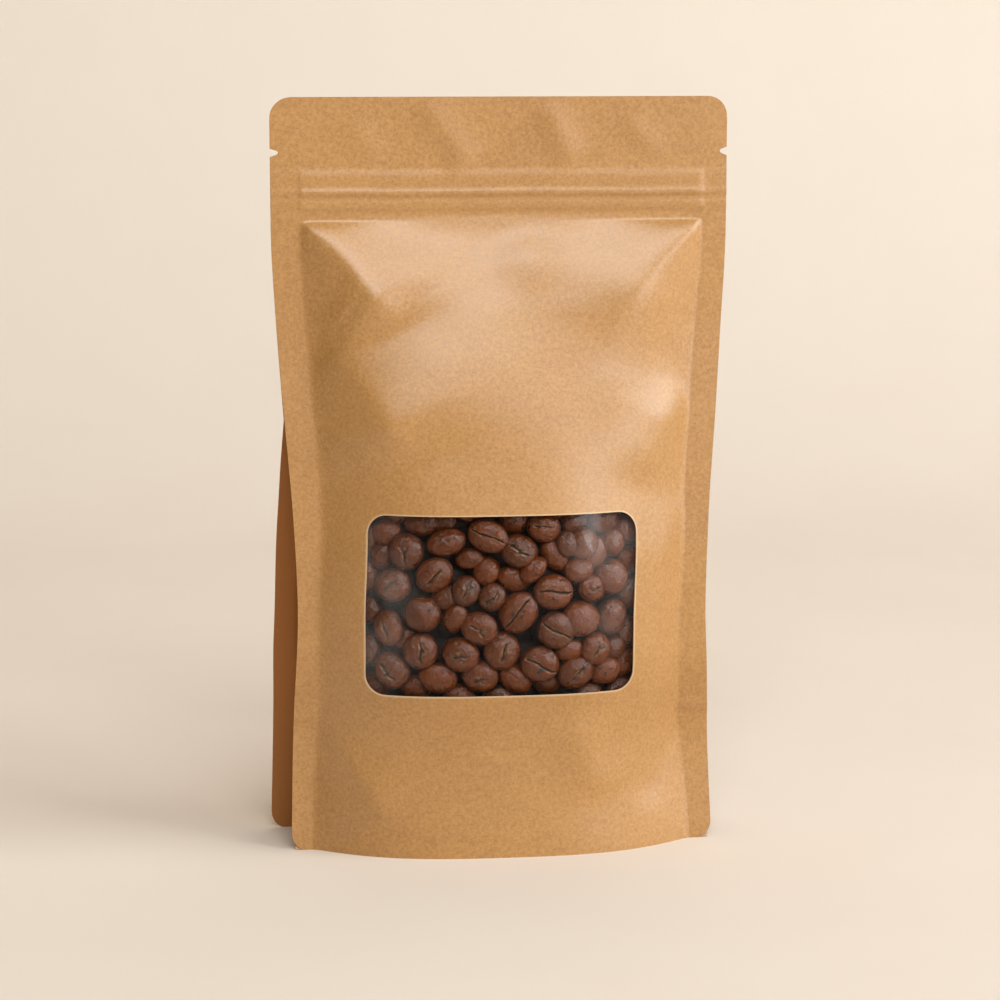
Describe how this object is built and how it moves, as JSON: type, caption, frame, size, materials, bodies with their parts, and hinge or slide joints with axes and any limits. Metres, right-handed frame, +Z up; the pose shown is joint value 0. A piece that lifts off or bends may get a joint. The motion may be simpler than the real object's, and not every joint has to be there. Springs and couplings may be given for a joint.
{
  "type": "coffee bag",
  "caption": "Stand-up kraft paper pouch of roasted coffee beans, with rounded corners, tear notches, a pressed zip band, side seals and a clear rounded window low on its front",
  "frame": {"origin": "middle of the box's underside, on the surface the pouch stands on", "axes": "+Z up, +X to the right seen from the front, +Y from the window side towards the back"},
  "size_m": [0.1111, 0.0456, 0.1823],
  "materials": {
    "kraft_paper": "uncoated brown kraft paper, matte with fine fibre specks",
    "zip_plastic": "satin polyethylene strip",
    "window_film": "clear glossy film with a faint haze",
    "coffee_beans": "medium-dark roast, satin with a thin coat of oil"
  },
  "bodies": {
    "root": {"front_panel": "kraft_paper", "back_panel": "kraft_paper", "bottom_gusset": "kraft_paper", "side_web_left": "kraft_paper", "side_web_right": "kraft_paper", "zip_strip": "zip_plastic", "window_film": "window_film", "coffee_beans": "coffee_beans"}
  },
  "joints": []
}
